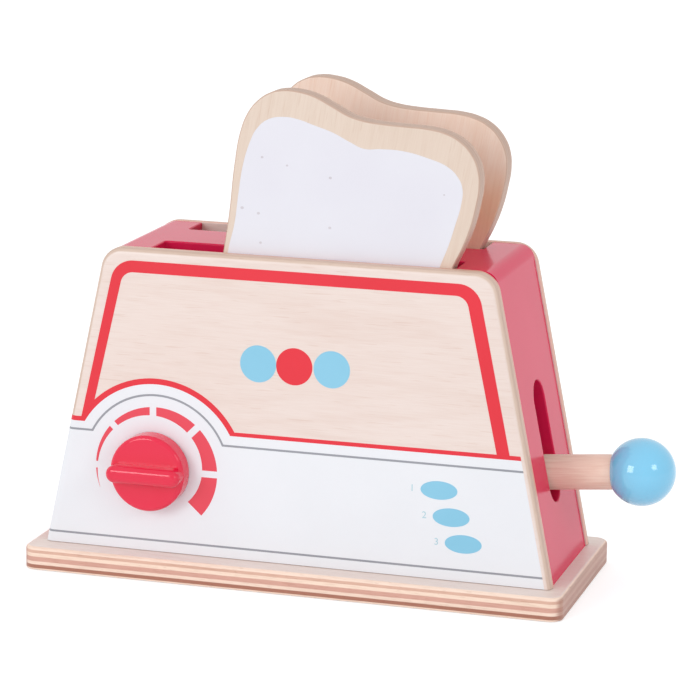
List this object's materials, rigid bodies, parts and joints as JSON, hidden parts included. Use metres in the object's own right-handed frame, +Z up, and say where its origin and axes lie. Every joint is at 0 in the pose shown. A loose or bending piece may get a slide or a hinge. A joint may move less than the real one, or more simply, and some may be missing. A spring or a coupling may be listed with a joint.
{
  "type": "toy toaster",
  "caption": "Wooden toy toaster with a see-saw lever that pops its bread slices up, a turning dial, open slots and a printed front on a plywood base.",
  "frame": {"origin": "middle of the base board's underside", "axes": "+Z up, +X towards the lever, -Y towards the dial and the printed front"},
  "size_m": [0.242, 0.09, 0.1865],
  "materials": {
    "birch_plywood": "clear matt lacquer on birch plywood",
    "printed_plywood": "birch plywood with matt white, red, blue and grey print",
    "red_lacquer": "glossy red lacquer",
    "red_gloss_paint": "glossy bright red paint",
    "blue_gloss_paint": "glossy light blue paint",
    "beech_dowel": "bare sanded dowel",
    "toast_plywood": "laser-cut plywood with a printed white field",
    "zinc_steel": "bright zinc plate"
  },
  "bodies": {
    "toaster": {"base_board": "birch_plywood", "front_panel": "printed_plywood", "rear_panel": "birch_plywood", "left_side_board": "red_lacquer", "right_side_board": "red_lacquer", "top_board": "red_lacquer", "left_front_top_dowel": "beech_dowel", "left_rear_top_dowel": "beech_dowel", "right_front_top_dowel": "beech_dowel", "right_rear_top_dowel": "beech_dowel", "left_front_base_screw": "zinc_steel", "left_rear_base_screw": "zinc_steel", "right_front_base_screw": "zinc_steel", "right_rear_base_screw": "zinc_steel", "front_pivot_post": "birch_plywood", "rear_pivot_post": "birch_plywood", "front_post_screw": "zinc_steel", "rear_post_screw": "zinc_steel", "pivot_pin": "beech_dowel"},
    "dial": {"dial_knob": "red_gloss_paint", "dial_screw": "zinc_steel"},
    "lever": {"rocker_arm": "birch_plywood", "lever_dowel": "beech_dowel", "lever_ball": "blue_gloss_paint", "lifting_bar": "beech_dowel"},
    "front_slice": {"front_toast": "toast_plywood"},
    "rear_slice": {"rear_toast": "toast_plywood"}
  },
  "joints": [
    {"name": "lever_tilt", "type": "hinge", "parent": "toaster", "child": "lever", "pos_m": [0.057, 0, 0.0417], "axis": [0, -1, 0], "range_deg": [-5, 39]},
    {"name": "front_slice_lift", "type": "slide", "parent": "toaster", "child": "front_slice", "axis": [0.3746, 0, 0.9272], "range_m": [-0.0478, 0.0065]},
    {"name": "rear_slice_lift", "type": "slide", "parent": "toaster", "child": "rear_slice", "axis": [0.3746, 0, 0.9272], "range_m": [-0.0478, 0.0065]},
    {"name": "dial_turn", "type": "hinge", "parent": "toaster", "child": "dial", "pos_m": [-0.0553, -0.0335, 0.0411], "axis": [0, -1, 0], "continuous": true}
  ],
  "couplings": [
    {"joint": "front_slice_lift", "follows": "lever_tilt", "m_per_rad": -0.0695},
    {"joint": "rear_slice_lift", "follows": "lever_tilt", "m_per_rad": -0.0695}
  ]
}
